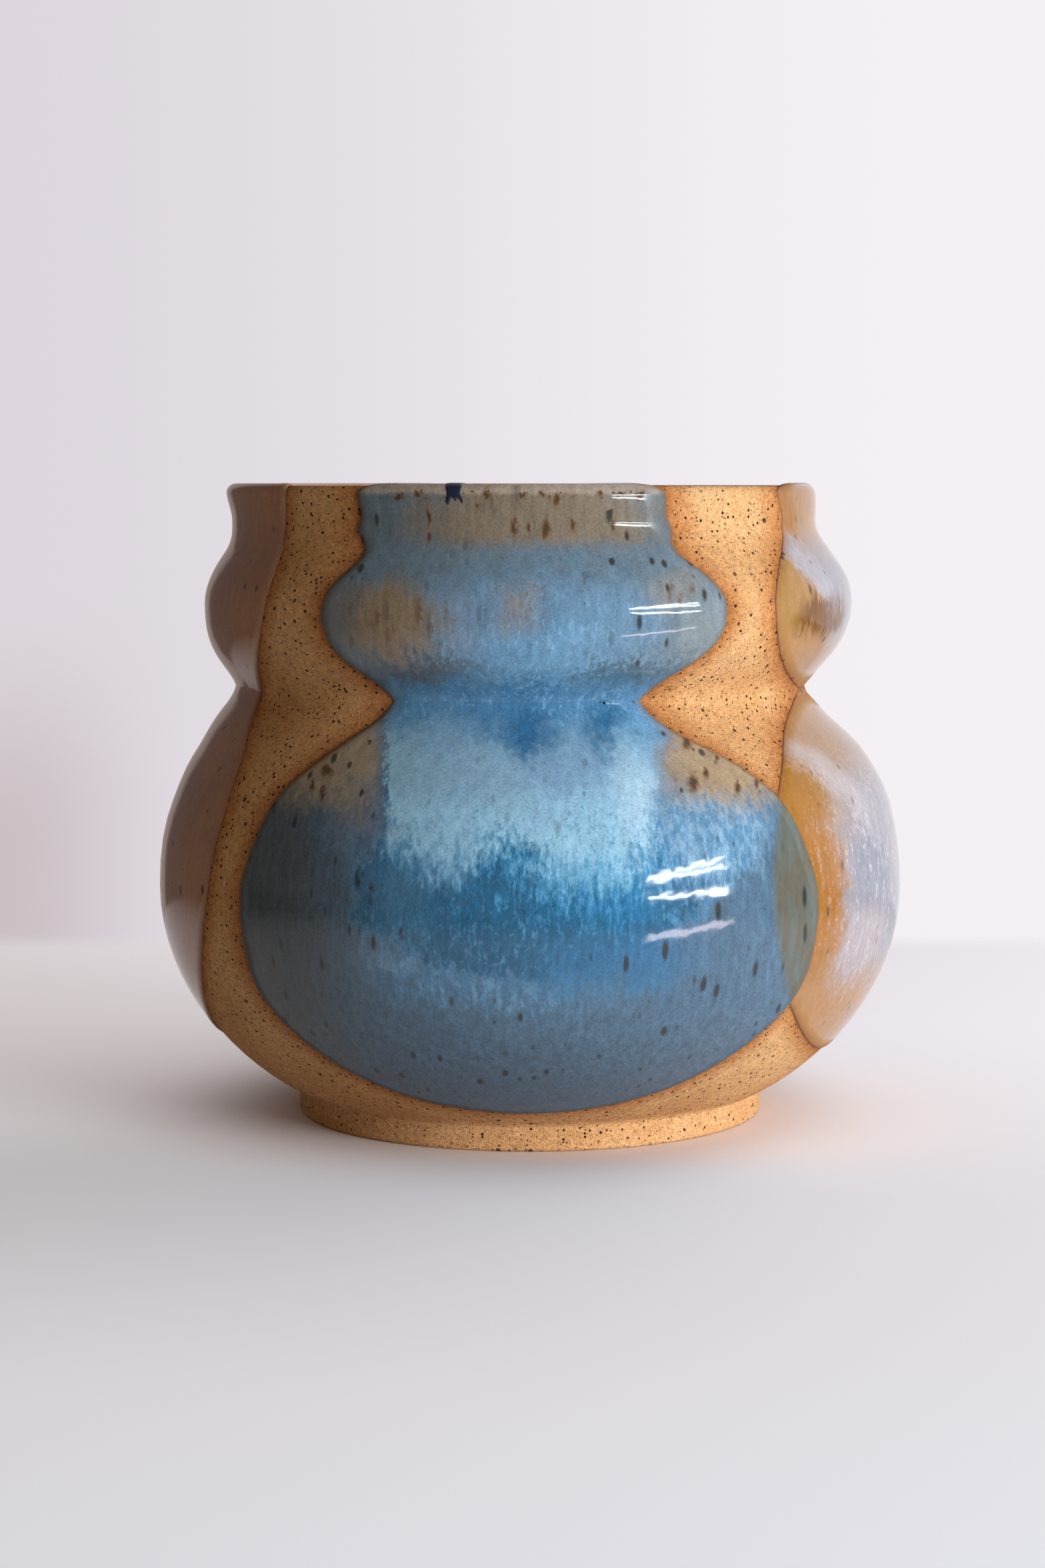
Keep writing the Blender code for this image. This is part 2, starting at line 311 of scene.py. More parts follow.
# %% [markdown]
# ## A panel of glaze
# A panel could be painted on the clay as a colour, but fired glaze is a layer: it has a rounded
# edge that catches the light and stands half a millimetre proud. So each panel is its own thin
# skin. The outside wall is turned once more, bent so that the wavy level becomes a flat plane, cut
# with Bisect, given extra cuts beside the edge for the rounding, and bent back. Its points are
# then lifted off the clay, from nothing at the edge to the full coat, and Solidify closes it
# downwards into the clay.

# %% Helpers that cut and lift a panel
COAT = 0.45
EDGE_ROUND = 1.1
EDGE_CUTS = [0.08, 0.2, 0.4, 0.7, 1.1, 1.7, 2.6]
BEAD_HEIGHT, BEAD_INSIDE, BEAD_WIDTH = 0.07, 1.3, 0.7
SUNK = 0.5


def move_along(piece, dip, share):
    """Bend a piece along a dip's heading by a share of its wave, which leaves the wave itself unchanged."""
    for point in piece.data.vertices:
        point.co += dip.heading * (share * dip.wave_at(point.co) * MM)


def cut_at(dip, distance, **choices):
    """Bisect the piece that is being edited where a dip's flattened level lies, plus a distance in mm."""
    bpy.ops.mesh.select_all(action="SELECT")
    bpy.ops.mesh.bisect(plane_co=dip.heading * ((dip.depth + distance) * MM), plane_no=dip.heading,
                        threshold=SAME_POINT, **choices)


def edge_lift(distance):
    """Thickness of the coat at a distance inside its edge, both in mm: a quarter round and a low bead."""
    share = min(1, max(0, distance / EDGE_ROUND))
    return COAT * math.sqrt(1 - (1 - share) ** 2) + BEAD_HEIGHT * bell(distance, BEAD_INSIDE, BEAD_WIDTH)


def skin(name, dip, knots):
    """A wall turned from knots, the part of it that was inside a dip, cut off at its level."""
    piece = turn(draw_outline(name, knots, closed=False))
    move_along(piece, dip, -1)
    bpy.ops.object.mode_set(mode="EDIT")
    cut_at(dip, 0, clear_inner=True)
    for distance in EDGE_CUTS:
        cut_at(dip, distance)
    bpy.ops.object.mode_set(mode="OBJECT")
    move_along(piece, dip, 1)
    return piece


def apply_solidify(piece, thickness):
    """Close a skin with a wall of a thickness in mm, on the side away from its normals."""
    solidify = piece.modifiers.new("Coat", "SOLIDIFY")
    solidify.thickness, solidify.offset = thickness * MM, -1
    bpy.context.view_layer.objects.active = piece
    bpy.ops.object.modifier_apply(modifier=solidify.name)


PANEL_END = knot(FOOT_RADIUS, FOOT_LEVEL, UNDER_BELLY)
print("Cuts beside each edge:", len(EDGE_CUTS))

# %% [markdown]
# ## The four panels
# The back, left, right and front were dipped in that order, and a later coat lies over an earlier
# one. Only the front and the right panel meet. There the right coat thins away under the front one,
# and what shows is the front coat with the amber shining through.
# Each point also remembers its distance from the edges, which the finishes read as attributes.

# %% Make the panels
FRONT_EDGE, UNDER_FRONT = -0.2, 0.9


def remember(piece, name, distance):
    """Keep a distance in mm for each point of a piece, as an attribute that its finish can read."""
    attribute = piece.data.attributes.new(name, "FLOAT", "POINT")
    attribute.data.foreach_set("value", [distance(point.co) for point in piece.data.vertices])


def panel(name, dip, thinning=None, knots=lip + outside[:-1] + [PANEL_END], faces_axis=False):
    """One dip's coat: cut, lifted off the clay, closed and ready for its finish."""
    piece = skin(name, dip, knots)
    if faces_axis:
        piece.data.flip_normals()
    lifts = []
    for point in piece.data.vertices:
        lift = edge_lift(dip.inside_by(point.co))
        if thinning:
            lift *= thinning(point.co)
        lifts.append(point.normal * (lift * MM))
    for point, lift in zip(piece.data.vertices, lifts):
        point.co += lift
    apply_solidify(piece, SUNK)
    remember(piece, "inside_edge", dip.inside_by)
    return piece


def away_from_front(place):
    """1 where the right coat lies free, and 0 where the front coat covers it."""
    return 1 - ease(front_dip.inside_by(place), FRONT_EDGE, UNDER_FRONT)


front_panel = panel("front_panel", front_dip)
right_panel = panel("right_panel", right_dip, away_from_front)
left_panel = panel("left_panel", left_dip)
back_panel = panel("back_panel", back_dip)
remember(front_panel, "over_amber", right_dip.inside_by)
remember(clay, "from_glaze", lambda place: -max(dip.inside_by(place) for dip in dips))
for piece in (front_panel, right_panel, left_panel, back_panel):
    print(piece.name, triangles(piece), "triangles")

# %% [markdown]
# ## The liner
# The inside was poured full of a dark blue glaze and emptied, so it is coated all over, up to just
# under the lip, where the level rocked a little. A pour is a dip with the pot held still: its
# heading is straight down. So the panel helper makes it too, from the knots of the inside wall, with
# the coat on the side of the axis.

# %% Turn the liner
LINER_TOP, BARE_RING = 132.2, 1.4


def pour_wave(across, back):
    """The level of the pour rocked a little, from side to side and from front to back."""
    return 0.35 * math.sin(across / 8) + 0.3 * math.sin(back / 11 + 1)


pour = Dip(0, -90, -LINER_TOP, pour_wave)
liner_start = knot(DRAIN_RADIUS + BARE_RING, FLOOR_LEVEL, (0, 0), (FLOOR_HANDLE, 0))
liner = panel("liner", pour, knots=[liner_start, *inside, lip[0]], faces_axis=True)
print("Liner:", triangles(liner), "triangles")

# %% [markdown]
# ## The run over the rim
# While the liner was poured out, one run of it went over the lip and stopped a few millimetres down
# the outside, in two short fingers with a smaller one between. It starts as a flat grid: one
# direction goes across the run and the other along it. Each point is then laid on a path that comes
# up the inside, goes round the lip and down the outside, and is raised like a drop, with its edges
# sunk into the coat below.

# %% Lay the run over the lip
RUN_AZIMUTH = math.radians(-12.1)
RUN_ACROSS, RUN_ALONG = 16, 40
RUN_HALF_WIDTHS = [(0, 2.5), (5, 2.1), (7.5, 1.75), (8.8, 1.45), (10.5, 1.9)]
RUN_LENGTH, RUN_HEIGHT, RUN_INSIDE = 9.7, 0.2, 2.0
RUN_SUNK, RUN_WALL = 0.06, 0.4
THICK_ALL_OVER = 5.0
POT_MIDDLE = Vector((0, 0, 0.07))


def on_lip(along, lift):
    """Radius and level on a path up the inside, over the lip and down the outside, in mm."""
    reach = LIP_ROUND + COAT + lift
    quarter = LIP_ROUND * math.pi / 2
    flat = WALL - 2 * LIP_ROUND
    inner, outer = RIM_RADIUS - WALL + LIP_ROUND, RIM_RADIUS - LIP_ROUND
    top = POT_HEIGHT - LIP_ROUND
    along -= RUN_INSIDE
    if along < 0:
        return inner - reach, top + along
    if along < quarter:
        turned = along / LIP_ROUND
        return inner - reach * math.cos(turned), top + reach * math.sin(turned)
    along -= quarter
    if along < flat:
        return inner + along, top + reach
    along -= flat
    if along < quarter:
        turned = along / LIP_ROUND
        return outer + reach * math.sin(turned), top + reach * math.cos(turned)
    return outer + reach, top - (along - quarter)


def finger(side):
    """How much further the run goes at a place across it, from -1 to 1."""
    return 1.3 * bell(side, -0.72, 0.26) + 0.6 * bell(side, 0.12, 0.22) + 1.1 * bell(side, 0.78, 0.2)


bpy.ops.object.select_all(action="DESELECT")
bpy.ops.mesh.primitive_grid_add(x_subdivisions=RUN_ACROSS, y_subdivisions=RUN_ALONG, size=2)
run = bpy.context.object
run.name = run.data.name = "rim_run"
for point in run.data.vertices:
    side, share = point.co.x, (point.co.y + 1) / 2
    along = share * (RUN_LENGTH + finger(side))
    dome = math.sqrt(max(0, 1 - side ** 4)) * (1 - ease(share, 0.9, 1.0) ** 2)
    radius, level = on_lip(along, RUN_HEIGHT * dome - RUN_SUNK)
    angle = RUN_AZIMUTH + side * follow(RUN_HALF_WIDTHS, along) / RIM_RADIUS
    point.co = Vector((math.sin(angle) * radius, -math.cos(angle) * radius, level)) * MM
bpy.ops.object.mode_set(mode="EDIT")
bpy.ops.mesh.select_all(action="SELECT")
bpy.ops.mesh.normals_make_consistent(inside=False)
bpy.ops.object.mode_set(mode="OBJECT")
middle = run.data.polygons[len(run.data.polygons) // 2]
if middle.normal.dot(middle.center - POT_MIDDLE) < 0:
    run.data.flip_normals()
bpy.ops.object.shade_smooth()
apply_solidify(run, RUN_WALL)
remember(run, "inside_edge", lambda place: THICK_ALL_OVER)
print("Run over the rim:", triangles(run), "triangles")

# %% [markdown]
# ## Writing finishes as sums
# Fired glaze is a play of many soft patches, and as bare nodes that is a large web. A small class
# wraps a node's output, so that ordinary arithmetic in Python adds the Math nodes. A second class
# holds one finish: its node tree, one method that adds any other node, and short ones for the steps
# and mixes that are needed most.

# %% Field and Finish


class Field:
    """A number or colour that changes over a surface: a node's output on which sums can be done."""

    def __init__(self, finish, socket):
        self.finish, self.socket = finish, socket

    def __add__(self, other):
        return self.finish.sum("ADD", self, other)

    def __sub__(self, other):
        return self.finish.sum("SUBTRACT", self, other)

    def __rsub__(self, other):
        return self.finish.sum("SUBTRACT", other, self)

    def __mul__(self, other):
        return self.finish.sum("MULTIPLY", self, other)

    def __truediv__(self, other):
        return self.finish.sum("DIVIDE", self, other)

    def __abs__(self):
        return self.finish.sum("ABSOLUTE", self)

    __radd__, __rmul__ = __add__, __mul__


class Finish:
    """A node tree that is written with Fields."""

    def __init__(self, tree):
        self.nodes, self.links = tree.nodes, tree.links

    def node(self, kind, settings=None, inputs=None, output=0):
        """Add a node: its settings first, then the values or links of its sockets."""
        made = self.nodes.new(kind)
        for name, setting in (settings or {}).items():
            if name == "stops":
                self.fill_ramp(made.color_ramp, setting)
            else:
                setattr(made, name, setting)
        for name, value in (inputs or {}).items():
            self.feed(made.inputs[name], value)
        return Field(self, made.outputs[output])

    def fill_ramp(self, ramp, stops):
        """Give a colour ramp its stops, each a place from 0 to 1 and a colour."""
        while len(ramp.elements) < len(stops):
            ramp.elements.new(1)
        for element, (place, colour) in zip(ramp.elements, stops):
            element.position, element.color = place, colour

    def feed(self, socket, value):
        """Give a socket a link or a plain value."""
        if isinstance(value, Field):
            self.links.new(value.socket, socket)
        else:
            socket.default_value = value

    def sum(self, operation, *values):
        """A Math node on numbers and Fields."""
        return self.node("ShaderNodeMath", {"operation": operation}, dict(enumerate(values)))

    def step(self, value, low, high):
        """0 where a value is at low, 1 where it is at high, and a smooth step between."""
        return self.node("ShaderNodeMapRange", {"interpolation_type": "SMOOTHSTEP"},
                         {"Value": value, "From Min": low, "From Max": high})

    def mix(self, ground, over, share):
        """One colour laid over another by a share."""
        return self.node("ShaderNodeMix", {"data_type": "RGBA"}, {0: share, 6: ground, 7: over}, 2)

    def parts(self, vector):
        """The three parts of a vector or colour."""
        outputs = self.node("ShaderNodeSeparateXYZ", inputs={0: vector}).socket.node.outputs
        return [Field(self, output) for output in outputs]


def tone(red, green, blue):
    """A colour given in parts from 0 to 255, in the linear form that sockets hold."""
    shares = [part / 255 for part in (red, green, blue)]
    return (*[s / 12.92 if s <= 0.04045 else ((s + 0.055) / 1.055) ** 2.4 for s in shares], 1)


print("Mid grey as a socket holds it:", round(tone(128, 128, 128)[0], 3))

# %% [markdown]
# ## Tools for surface patterns
# A coating adds to a finish what patterns need. Clouds are soft noise with patches of a size in
# millimetres, and a stretch draws them out downwards, as glaze runs. Specks are round cells of which
# only a share show. A patch is a soft oval dab at a place across and up the pot. All of them read
# the place on the piece itself, so they stay where they are from every side.

# %% Coating


class Coating(Finish):
    """The finish of a piece: a Principled shader, and the place on the piece in mm."""

    def __init__(self, name, roughness):
        self.material = bpy.data.materials.new(name)
        self.material.use_nodes = True
        super().__init__(self.material.node_tree)
        self.shader = self.nodes["Principled BSDF"]
        self.shader.inputs["Roughness"].default_value = roughness
        place = self.node("ShaderNodeTexCoord", output="Object")
        self.place = self.node("ShaderNodeVectorMath", {"operation": "SCALE"},
                               {0: place, "Scale": 1 / MM})
        self.x, self.y, self.z = self.parts(self.place)

    def cells(self, size, stretch, seed):
        """The place counted in cells of a size in mm, drawn out downwards by a stretch."""
        counts = (1 / size, 1 / size, 1 / (size * stretch))
        return self.node("ShaderNodeVectorMath", {"operation": "MULTIPLY_ADD"},
                         {0: self.place, 1: counts, 2: (seed, 1.7 * seed, 2.3 * seed)})

    def cloud(self, size, stretch=1, detail=2, seed=0, twist=0):
        """Soft noise around 0, mostly between -0.3 and 0.3, with a twist that curls it."""
        cells = self.cells(size, stretch, seed)
        return self.node("ShaderNodeTexNoise", inputs={
            "Vector": cells, "Scale": 1, "Detail": detail, "Distortion": twist}) - 0.5

    def specks(self, size, radius, share, stretch=1, seed=0, soft=0.3):
        """1 on round specks in a share of the cells, with radii up to a part of the cell size."""
        cells = self.cells(size, stretch, seed)
        spots = self.node("ShaderNodeTexVoronoi", inputs={"Vector": cells, "Scale": 1}).socket.node.outputs
        chance = self.parts(Field(self, spots["Color"]))[0]
        return self.step(radius * (1 - chance / share) - Field(self, spots["Distance"]), 0, soft * radius)

    def chart(self, across, level):
        """Where a point lies on the front of a coat, as a flat chart of across and up in mm."""
        return self.node("ShaderNodeCombineXYZ", inputs={0: across, 1: level})

    def patch(self, where, middle, reach, soft=0.4):
        """1 inside a soft oval around a middle on a chart, with a reach across and up in mm."""
        counts = [1 / part for part in reach]
        start = [-place * count for place, count in zip(middle, counts)]
        from_middle = self.node("ShaderNodeVectorMath", {"operation": "MULTIPLY_ADD"},
                                {0: where, 1: (*counts, 0), 2: (*start, 0)})
        distance = self.node("ShaderNodeVectorMath", {"operation": "LENGTH"}, {0: from_middle}, "Value")
        return self.step(distance, 1 + soft, 1 - soft)

    def dab(self, ground, where, dabs):
        """A ground with dabs over it, each a colour, a strength, a middle, a reach and a softness."""
        for colour, strength, middle, reach, soft in dabs:
            ground = self.mix(ground, colour, self.patch(where, middle, reach, soft) * strength)
        return ground

    def blend(self, ground, value, share):
        """One number laid over another by a share."""
        return ground + (value - ground) * share

    def shade(self, colour, amount):
        """A colour made lighter or darker by an amount around 0."""
        grey = self.node("ShaderNodeCombineColor", inputs={0: 1 + amount, 1: 1 + amount, 2: 1 + amount})
        return self.node("ShaderNodeMix", {"data_type": "RGBA", "blend_type": "MULTIPLY"},
                         {0: 1.0, 6: colour, 7: grey}, 2)

    def attribute(self, name):
        """A number that the piece's points remember."""
        return self.node("ShaderNodeAttribute", {"attribute_name": name}, output="Fac")

    def relief(self, height, depth):
        """Light the surface as if a height field of a depth in mm lay on it."""
        bump = self.node("ShaderNodeBump", inputs={"Height": height, "Distance": depth * MM})
        self.feed(self.shader.inputs["Normal"], bump)

    def wear(self, colour, *pieces):
        """Give the finish its colour and its pieces."""
        self.feed(self.shader.inputs["Base Color"], colour)
        for piece in pieces:
            piece.data.materials.append(self.material)
        print(self.material.name, "has", len(self.nodes), "nodes")


print("A coating can:", [name for name in vars(Coating) if not name.startswith("_")])

# %% [markdown]
# ## Tools for glazes
# A glaze is a coating that also knows the edge of its panel and the level of its dip. It is glossy
# where it melted well and drier where it is thin.

# %% Glaze
GLOSS = 0.08


class Glaze(Coating):
    """A coating of glaze, glossy unless it is given another roughness."""

    def __init__(self, name, roughness=GLOSS):
        super().__init__(name, roughness)
        self.roughness = roughness

    def edge(self, wander=0.8):
        """How far a place lies inside the coat's edge in mm, wandering a little."""
        return self.attribute("inside_edge") + wander * self.cloud(3, seed=21)

    def along(self, dip):
        """How far a place lies along a dip's level in mm, counted from the pot's axis."""
        return dip.along.x * self.x + dip.along.y * self.y

    def grain(self):
        """The finest noise of a glaze."""
        return self.cloud(0.3, stretch=1.4, detail=2, seed=33)

    def dry(self, extra):
        """Make the sheen rougher by an extra that changes over the surface."""
        self.feed(self.shader.inputs["Roughness"], self.roughness + extra)


print("Roughness of a glossy glaze:", GLOSS)

# %% [markdown]
# ## Clay
# The bare clay is a sandy stoneware, toasted orange where glaze ends: a warm halo follows every
# glaze edge, and iron specks crowd in it. The specks come in three sizes, from fine pepper to spots
# of more than a millimetre. The surface is dry, with a fine grain that only shows as a rough sheen.

# %% Clay finish
stoneware = Coating("speckled_clay", 0.9)
stoneware.shader.inputs["Specular IOR Level"].default_value = 0.2
gap = stoneware.attribute("from_glaze") + 2.2 * stoneware.cloud(2.5, detail=3, seed=4)
halo = stoneware.step(gap, 4.4, 0.0)
scorch = stoneware.step(gap, 1.1, -0.4)
grain = stoneware.cloud(0.3, detail=2, seed=2)
sand = stoneware.cloud(1.0, detail=3, seed=8)
tint = stoneware.cloud(20, detail=3, seed=6)

colour = stoneware.mix(tone(191, 141, 92), tone(201, 153, 105), stoneware.step(tint, -0.15, 0.15))
colour = stoneware.mix(colour, tone(164, 100, 50), halo * 0.8)
colour = stoneware.mix(colour, tone(120, 70, 38), scorch * 0.6)
colour = stoneware.shade(colour, 1.5 * grain + 0.9 * sand)
pepper = stoneware.specks(0.62, 0.44, 0.85, seed=11, soft=0.6)
spots = stoneware.specks(1.1, 0.41, 0.72 + 0.28 * halo, seed=23, soft=0.4)
blots = stoneware.specks(3.4, 0.22, 0.6, seed=37, soft=0.4)
colour = stoneware.mix(colour, tone(70, 43, 24), pepper)
colour = stoneware.mix(colour, tone(44, 27, 17), spots)
colour = stoneware.mix(colour, tone(42, 27, 19), blots * 0.9)
stoneware.relief(grain + 0.6 * sand, 0.16)
stoneware.wear(colour, clay)

# %% [markdown]
# ## Front glaze: thick and thin
# The front coat is one glaze, and its colour tells how thick it lies: olive where it is thin over the
# clay, slate on most of the pot, deep blue where it gathered and a milky pale blue where it is
# thickest. So the belly is painted as a thickness first, and a colour ramp turns that into colour.
# Slow clouds let the patches wander, and fine ones curdle and feather them, as in melting glaze.

# %% Front glaze: wandering places and ramp
THICK_STOPS = [
    (0.00, tone(142, 125, 102)), (0.13, tone(104, 106, 104)), (0.26, tone(73, 88, 101)),
    (0.36, tone(77, 105, 126)), (0.44, tone(72, 114, 143)), (0.50, tone(47, 90, 118)),
    (0.62, tone(43, 97, 129)), (0.70, tone(58, 119, 154)), (0.78, tone(100, 146, 170)),
    (0.87, tone(136, 174, 192)), (1.00, tone(127, 159, 178)),
]

front = Glaze("front_glaze")
curdle = front.cloud(0.8, stretch=2.4, detail=5, seed=1, twist=0.7)
feather = front.cloud(1.1, stretch=5, detail=5, seed=5, twist=0.4)
streak = front.cloud(1.6, stretch=8, detail=3, seed=14)
clot = front.cloud(3.6, stretch=1.3, detail=3, seed=17, twist=0.8)
mottle = front.cloud(1.7, stretch=1.3, detail=5, seed=27, twist=0.9)
across = front.x + 10 * front.cloud(13, detail=3, seed=3) + 5 * clot + 1.5 * curdle
level = front.z + 8 * front.cloud(12, detail=3, seed=8) - 6 * clot + 8 * feather + 4 * curdle
where = front.chart(across, level)
print("Stops from thin to thick:", len(THICK_STOPS))

# %% [markdown]
# ## Front glaze: how thick the belly's coat is
# Below the waist the glaze pooled in a pale sheet with a clear left side. Where the sheet ends, on
# the widest part of the belly, a deep blue crescent follows. Both are places where the coat is thick,
# so they are laid over each other as numbers, and the ramp colours them in one go.

# %% Front glaze: thickness on the belly
thick = front.blend(0.26, 0.31, front.step(level, 14, 34))
thick = front.blend(thick, 0.46, front.patch(where, (-6, 40.5), (26, 6.5), 0.6) * 0.7)
thick = front.blend(thick, 0.50, front.patch(where, (-43, 70), (6, 5), 0.7) * 0.7)

crescent_low = 40.2 + 0.0095 * (across + 3) * (across + 3)
drop = level - crescent_low
crescent = (front.step(drop, -2.5, 3.0) * front.step(level, 72, 64)
            * front.step(abs(across - 4), 42, 36))
gathered = front.blend(0.55, 0.63, front.patch(where, (14, 57), (17, 6), 0.8)) + 0.3 * clot + 0.3 * mottle
thick = front.blend(thick, gathered, crescent)

pool_low = 63 - 5.5 * front.step(abs(across - 11), 13, 4)
pool_side = front.x + 3 * front.cloud(9, stretch=3, detail=2, seed=19) + 0.5 * curdle
left_side = front.step(pool_side + 4 * feather, -32.4, -26.0)
pool = (front.step(level - pool_low, -8, 8) * left_side
        * front.step(across + 0.3 * (front.z - 74), 31, 21))
thick = front.blend(thick, front.blend(0.87, 1.0, front.step(level, 70, 80)), pool)
stir = 0.25 + 0.75 * front.step(thick, 0.34, 0.5)
thick = thick + (0.30 * curdle + 0.24 * feather) * stir
glaze = front.node("ShaderNodeValToRGB", {"stops": THICK_STOPS}, {"Fac": thick})
print("Nodes for the belly's thickness:", len(front.nodes))

# %% [markdown]
# ## Front glaze: marks on the belly
# The crescent is darkest along its hem and flecked with lighter curds, and a thin milky fringe hangs
# below it. Fine threads run down on the right of the pool, and a few soft dabs set single places
# lighter or darker. Towards its left side the belly turns grey.

# %% Front glaze: marks on the belly
hem = front.step(drop, -1.0, 1.5) * front.step(drop, 13, 4) * crescent * (1 - pool)
glaze = front.mix(glaze, tone(41, 81, 104), hem * front.step(mottle + 0.6 * clot, -0.22, 0.18) * 0.85)
flecks = crescent * (1 - pool) * front.step(curdle + 0.5 * feather - 0.5 * mottle, 0.02, 0.3)
glaze = front.mix(glaze, tone(92, 136, 160), flecks * 0.6)
fringe = (front.step(drop, -8.0, -3.0) * front.step(drop, 1.0, -1.5)
          * front.step(abs(across + 13), 26, 12))
glaze = front.mix(glaze, tone(118, 148, 170), fringe * front.step(0.6 * clot + feather, -0.12, 0.22) * 0.5)
threads = front.mix(tone(88, 128, 156), tone(124, 152, 170),
                    front.step(feather + 0.4 * curdle, -0.14, 0.18))
glaze = front.mix(glaze, threads, front.patch(where, (36, 68), (11, 9.5), 0.5) * 0.95)
glaze = front.dab(glaze, where, [
    (tone(108, 138, 163), 0.7, (8, 80), (10, 4), 0.7),
    (tone(118, 147, 166), 0.35, (-12, 79), (13, 5), 0.7),
    (tone(160, 184, 198), 0.75, (22, 77), (4, 9), 0.7),
    (tone(96, 152, 181), 0.6, (10, 60.5), (9, 3.5), 0.7),
    (tone(104, 108, 116), 0.7, (-34, 71), (6, 6), 0.6),
    (tone(136, 174, 194), 0.6, (-18, 67), (8, 6), 0.7),
    (tone(48, 98, 132), 0.8, (16, 43.5), (15, 5.5), 0.7),
    (tone(44, 108, 148), 0.6, (17, 54.5), (8, 3.5), 0.8),
    (tone(72, 110, 134), 0.7, (-25, 55), (7, 7), 0.8),
])
glaze = front.mix(glaze, tone(77, 79, 79), front.step(across, -26, -50) * 0.85)
print("Nodes with its marks:", len(front.nodes))

# %% [markdown]
# ## Front glaze: waist and shoulders
# The waist holds a band of strong blue that runs into the top of the pool in fine threads, with two
# darker spots. On both shoulders the coat stayed thin, and the clay turns it olive.

# %% Front glaze: waist and shoulders
waist_blue = front.mix(tone(73, 116, 147), tone(104, 146, 174),
                       front.step(curdle + feather, 0.02, 0.3) * 0.7)
waist = front.step(level, 81, 91) * front.step(abs(across), 33, 25)
glaze = front.mix(glaze, waist_blue, waist)
glaze = front.dab(glaze, where, [
    (tone(43, 92, 127), 0.95, (-1, 87.3), (4.2, 4.2), 0.8),
    (tone(42, 92, 124), 0.85, (14.5, 88), (3.6, 4.4), 0.8),
    (tone(56, 106, 142), 0.6, (-9, 90), (7, 3), 0.8),
    (tone(110, 150, 176), 0.6, (22, 86), (3, 6), 0.8),
    (tone(112, 147, 169), 0.5, (-20, 86), (6.5, 4), 0.7),
])
left_shoulder = front.patch(where, (-40, 83), (14.5, 9.5), 0.6) * (1 - left_side)
right_shoulder = front.patch(where, (39, 83), (15.5, 10), 0.5) * front.step(across, 22, 29)
glaze = front.mix(glaze, tone(142, 125, 103), left_shoulder)
glaze = front.mix(glaze, tone(152, 128, 99), right_shoulder)
print("Nodes with waist and shoulders:", len(front.nodes))

# %% [markdown]
# ## Front glaze: collar, neck and lip
# On the collar the coat is light blue in the middle, slate around it and olive at its left end. On the
# upright neck it is thin and tan between two slate ends, and the lip is the thinnest. These parts
# blend softly into each other, so they are dabbed on as plain colours.

# %% Front glaze: collar, neck and lip
COLLAR_DABS = [
    (tone(96, 126, 148), 0.9, (2, 107), (22, 12), 0.5),
    (tone(96, 138, 166), 0.9, (-2, 101.5), (15, 7), 0.6),
    (tone(108, 126, 144), 0.8, (-15, 108), (5, 7), 0.7),
    (tone(122, 119, 117), 0.9, (-2, 112), (4.5, 4.5), 0.8),
    (tone(129, 108, 84), 0.95, (-28, 108.5), (10, 7.5), 0.5),
    (tone(124, 121, 115), 0.8, (28, 115), (6, 4), 0.7),
    (tone(120, 125, 124), 0.75, (34, 106), (6, 6), 0.7),
    (tone(76, 84, 92), 0.9, (-21, 98), (11, 3.8), 0.6),
    (tone(69, 93, 107), 0.9, (19, 98), (10, 3), 0.6),
    (tone(102, 100, 97), 0.8, (-42, 110), (6, 9), 0.6),
]
collar = front.dab(tone(96, 110, 119), where, COLLAR_DABS)
milk = (front.patch(where, (3, 104.5), (19, 11), 0.6)
        * front.step(curdle + 0.6 * feather + 0.5 * clot, 0.0, 0.3))
collar = front.mix(collar, tone(122, 156, 180), milk * 0.55)
glaze = front.mix(glaze, collar, front.step(level, 93.5, 98.5))
neck = front.mix(tone(90, 100, 105), tone(117, 103, 86), front.patch(where, (1, 128), (23, 11), 0.3))
glaze = front.mix(glaze, neck, front.step(front.z + 5 * feather, 121.5, 126))
glaze = front.mix(glaze, tone(154, 137, 121), front.step(front.z + 1.2 * curdle, 133.1, 134.2) * 0.85)
grain = front.grain()
glaze = front.shade(glaze, 0.6 * streak + 0.45 * curdle + 0.3 * feather + 0.9 * grain)
print("Nodes with collar, neck and lip:", len(front.nodes))

# %% [markdown]
# ## Front glaze: amber below, and the edge
# On the right the front coat lies over the amber one, which turns it olive behind a soft line. At its
# own edge the coat is thin and brown. Both follow distances that the panel's points remember.

# %% Front glaze: overlap and edge
olive = front.mix(tone(97, 87, 67), tone(87, 91, 82), front.step(streak + 0.5 * feather, -0.16, 0.16))
olive = front.shade(olive, 0.7 * streak + 0.4 * curdle)
glaze = front.mix(glaze, olive, front.step(front.attribute("over_amber") + 1.2 * feather, -0.3, 1.6) * 0.92)
edge = front.edge()
thin = front.step(edge, 1.5, 0.2)
glaze = front.mix(glaze, tone(100, 80, 60), thin * 0.7)
print("Nodes with overlap and edge:", len(front.nodes))

# %% [markdown]
# ## Front glaze: rust and specks
# Iron from the clay came through in rust-brown runs on the neck, the collar and the shoulders, and in
# specks that the flow drew out a little. Specks can be scattered by chance, but the runs catch the
# eye, so each has its place: across, up, and half its width and height in millimetres. The fine noise
# bends them all, so none stays a clean oval.

